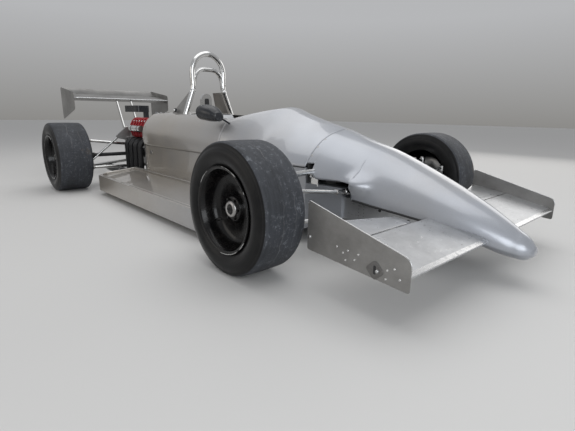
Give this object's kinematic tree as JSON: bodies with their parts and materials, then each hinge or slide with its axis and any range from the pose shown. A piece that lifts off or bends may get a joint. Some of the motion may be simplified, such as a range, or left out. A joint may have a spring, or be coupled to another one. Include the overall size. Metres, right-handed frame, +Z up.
{
  "type": "open wheel racing car",
  "caption": "Single seat open wheel racing car with a pointed nose, low side pods, slick tyres, roll hoops and wings, steering and rolling on its wheels.",
  "frame": {"origin": "on the ground, in the middle of the overall length and width", "axes": "+X forward, +Y to the left side, +Z up"},
  "size_m": [4.52, 1.85, 1.1059],
  "materials": {
    "body_paint": "silver metallic paint, semi gloss",
    "bare_sheet": "bare aluminium sheet, dull and scratched",
    "polished_steel": "bright plated tube",
    "tyre_rubber": "worn slick rubber",
    "wheel_black": "black painted alloy, semi gloss",
    "black_gloss": "black moulding, satin",
    "black_trim": "matt black",
    "cast_alloy": "cast alloy, oily",
    "red_paint": "red crackle paint",
    "burnt_steel": "black heat resistant coating"
  },
  "bodies": {
    "chassis": {"cam_covers": "red_paint", "cockpit_cover": "body_paint", "crash_box": "bare_sheet", "dash_panel": "black_trim", "driveshafts": "burnt_steel", "engine_block": "cast_alloy", "exhaust": "burnt_steel", "front_arms": "polished_steel", "front_end_plates": "bare_sheet", "front_flaps": "bare_sheet", "front_wings": "bare_sheet", "gearbox": "cast_alloy", "headrest": "polished_steel", "hoop_deck": "polished_steel", "hoop_plates": "bare_sheet", "intake": "black_gloss", "mirrors": "black_gloss", "monocoque_tub": "body_paint", "nose_cone": "body_paint", "oil_cylinder": "polished_steel", "rear_cover": "body_paint", "rear_dampers": "cast_alloy", "rear_end_plates": "bare_sheet", "rear_links": "polished_steel", "rear_rockers": "cast_alloy", "rear_uprights": "cast_alloy", "rear_wing": "bare_sheet", "roll_hoops": "polished_steel", "seat": "black_trim", "side_pod_left": "body_paint", "side_pod_right": "body_paint", "wing_posts": "polished_steel"},
    "front_upright_left": {"front_upright_left": "cast_alloy"},
    "front_upright_right": {"front_upright_right": "cast_alloy"},
    "front_wheel_left": {"front_rim_left": "wheel_black", "front_tyre_left": "tyre_rubber"},
    "front_wheel_right": {"front_rim_right": "wheel_black", "front_tyre_right": "tyre_rubber"},
    "rear_wheel_left": {"rear_rim_left": "wheel_black", "rear_tyre_left": "tyre_rubber"},
    "rear_wheel_right": {"rear_rim_right": "wheel_black", "rear_tyre_right": "tyre_rubber"},
    "steering_rack": {"steering_rack": "polished_steel"},
    "tie_rod_left": {"tie_rod_left": "polished_steel"},
    "tie_rod_right": {"tie_rod_right": "polished_steel"},
    "steering_wheel": {"steering_wheel": "black_trim"}
  },
  "joints": [
    {"name": "steer_left", "type": "hinge", "parent": "chassis", "child": "front_upright_left", "pos_m": [1.37, 0.675, 0.277], "axis": [0, 0, 1], "range_deg": [-16, 16]},
    {"name": "steer_right", "type": "hinge", "parent": "chassis", "child": "front_upright_right", "pos_m": [1.37, -0.675, 0.277], "axis": [0, 0, 1], "range_deg": [-16.2, 16.2]},
    {"name": "rack_slide", "type": "slide", "parent": "chassis", "child": "steering_rack", "axis": [0, 1, 0], "range_m": [-0.046, 0.046]},
    {"name": "tie_rod_left_swing", "type": "hinge", "parent": "steering_rack", "child": "tie_rod_left", "pos_m": [1.52, 0.285, 0.307], "axis": [0, 0, 1], "range_deg": [-3, 3]},
    {"name": "tie_rod_right_swing", "type": "hinge", "parent": "steering_rack", "child": "tie_rod_right", "pos_m": [1.52, -0.285, 0.307], "axis": [0, 0, 1], "range_deg": [-3, 3]},
    {"name": "steering_wheel_turn", "type": "hinge", "parent": "chassis", "child": "steering_wheel", "pos_m": [0.61, 0, 0.535], "axis": [-0.9563, 0, 0.2924], "range_deg": [-182, 182]},
    {"name": "front_left_spin", "type": "hinge", "parent": "front_upright_left", "child": "front_wheel_left", "pos_m": [1.37, 0.749, 0.277], "axis": [0, 1, 0], "continuous": true},
    {"name": "front_right_spin", "type": "hinge", "parent": "front_upright_right", "child": "front_wheel_right", "pos_m": [1.37, -0.749, 0.277], "axis": [0, 1, 0], "continuous": true},
    {"name": "rear_left_spin", "type": "hinge", "parent": "chassis", "child": "rear_wheel_left", "pos_m": [-1.09, 0.794, 0.28], "axis": [0, 1, 0], "continuous": true},
    {"name": "rear_right_spin", "type": "hinge", "parent": "chassis", "child": "rear_wheel_right", "pos_m": [-1.09, -0.794, 0.28], "axis": [0, 1, 0], "continuous": true}
  ],
  "couplings": [
    {"joint": "steer_right", "follows": "steer_left", "ratio": 1},
    {"joint": "rack_slide", "follows": "steer_left", "m_per_rad": 0.163},
    {"joint": "tie_rod_left_swing", "follows": "steer_left", "ratio": -0.177},
    {"joint": "tie_rod_right_swing", "follows": "steer_left", "ratio": -0.177},
    {"joint": "steering_wheel_turn", "follows": "steer_left", "ratio": 11.25}
  ]
}
